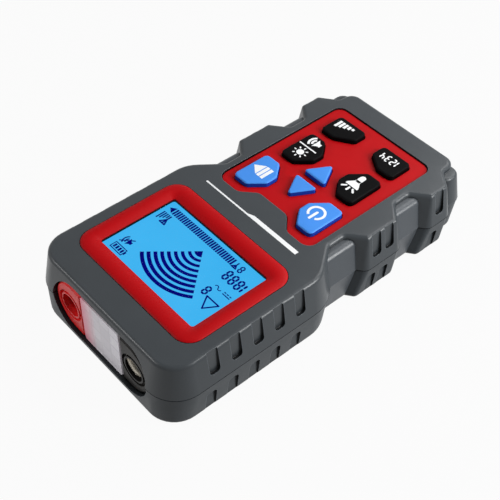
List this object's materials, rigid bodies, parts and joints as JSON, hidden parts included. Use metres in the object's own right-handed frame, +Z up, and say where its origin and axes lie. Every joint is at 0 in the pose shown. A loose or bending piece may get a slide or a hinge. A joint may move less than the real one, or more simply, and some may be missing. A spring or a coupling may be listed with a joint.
{
  "type": "cable locator emitter",
  "caption": "Handheld cable locator emitter: grey case with grip hollows, framed blue display, red keypad with raised keys, plug sockets and a torch in its end, sliding battery door.",
  "frame": {"origin": "on the back face, under the middle of the case's length and width", "axes": "+Z up out of the face with the display, +Y along the case to the end with the sockets, +X to the side of the red socket"},
  "size_m": [0.0964, 0.182, 0.0364],
  "materials": {
    "shell_plastic": "fine-textured dark grey moulding",
    "red_plastic": "satin red moulding",
    "window_clear": "clear hard-coated window",
    "display_glass": "blue-lit display glass",
    "light_guide": "white light guide",
    "contact_rubber": "layered contact rubber",
    "blue_rubber": "satin blue key rubber",
    "black_rubber": "satin black key rubber",
    "mat_rubber": "soft grey sheet",
    "dome_steel": "sprung domes",
    "board_green": "green coated board",
    "screw_steel": "plated screws",
    "chip_black": "moulded black",
    "core_brown": "varnished core and winding",
    "socket_red": "semi-gloss red moulding",
    "socket_black": "semi-gloss black moulding",
    "contact_plating": "nickel-plated contacts",
    "lens_clear": "frosted clear lens",
    "board_white": "white coated board",
    "led_clear": "clear epoxy",
    "battery_jacket": "plain dark jacket"
  },
  "bodies": {
    "case": {"upper_shell": "shell_plastic", "lower_shell": "shell_plastic", "lcd_bezel": "red_plastic", "keypad_panel": "red_plastic", "lcd_window": "window_clear", "lcd_panel": "display_glass", "backlight": "light_guide", "zebra_strips": "contact_rubber", "keypad_mat": "mat_rubber", "dome_switches": "dome_steel", "main_board": "board_green", "board_screws": "screw_steel", "board_chips": "chip_black", "sounder": "chip_black", "output_transformer": "core_brown", "red_jack": "socket_red", "black_jack": "socket_black", "red_sleeve": "contact_plating", "black_sleeve": "contact_plating", "torch_lens": "lens_clear", "torch_board": "board_white", "torch_leds": "led_clear", "battery": "battery_jacket", "battery_snap": "chip_black", "contact_strips": "contact_plating", "case_screws": "screw_steel"},
    "battery_door": {"battery_door": "shell_plastic"},
    "power_key": {"power_key": "blue_rubber"},
    "send_key": {"send_key": "blue_rubber"},
    "up_key": {"up_key": "blue_rubber"},
    "down_key": {"down_key": "blue_rubber"},
    "torch_key": {"torch_key": "black_rubber"},
    "light_key": {"light_key": "black_rubber"},
    "code_key": {"code_key": "black_rubber"},
    "level_key": {"level_key": "black_rubber"}
  },
  "joints": [
    {"name": "power_press", "type": "slide", "parent": "case", "child": "power_key", "axis": [0, 0, -1], "range_m": [0, 0.0008], "stiffness_N_per_m": 1500},
    {"name": "send_press", "type": "slide", "parent": "case", "child": "send_key", "axis": [0, 0, -1], "range_m": [0, 0.0008], "stiffness_N_per_m": 1500},
    {"name": "up_press", "type": "slide", "parent": "case", "child": "up_key", "axis": [0, 0, -1], "range_m": [0, 0.0008], "stiffness_N_per_m": 1500},
    {"name": "down_press", "type": "slide", "parent": "case", "child": "down_key", "axis": [0, 0, -1], "range_m": [0, 0.0008], "stiffness_N_per_m": 1500},
    {"name": "torch_press", "type": "slide", "parent": "case", "child": "torch_key", "axis": [0, 0, -1], "range_m": [0, 0.0008], "stiffness_N_per_m": 1500},
    {"name": "light_press", "type": "slide", "parent": "case", "child": "light_key", "axis": [0, 0, -1], "range_m": [0, 0.0008], "stiffness_N_per_m": 1500},
    {"name": "code_press", "type": "slide", "parent": "case", "child": "code_key", "axis": [0, 0, -1], "range_m": [0, 0.0008], "stiffness_N_per_m": 1500},
    {"name": "level_press", "type": "slide", "parent": "case", "child": "level_key", "axis": [0, 0, -1], "range_m": [0, 0.0008], "stiffness_N_per_m": 1500},
    {"name": "door_slide", "type": "slide", "parent": "case", "child": "battery_door", "axis": [0, -1, 0], "range_m": [0, 0.06]}
  ]
}
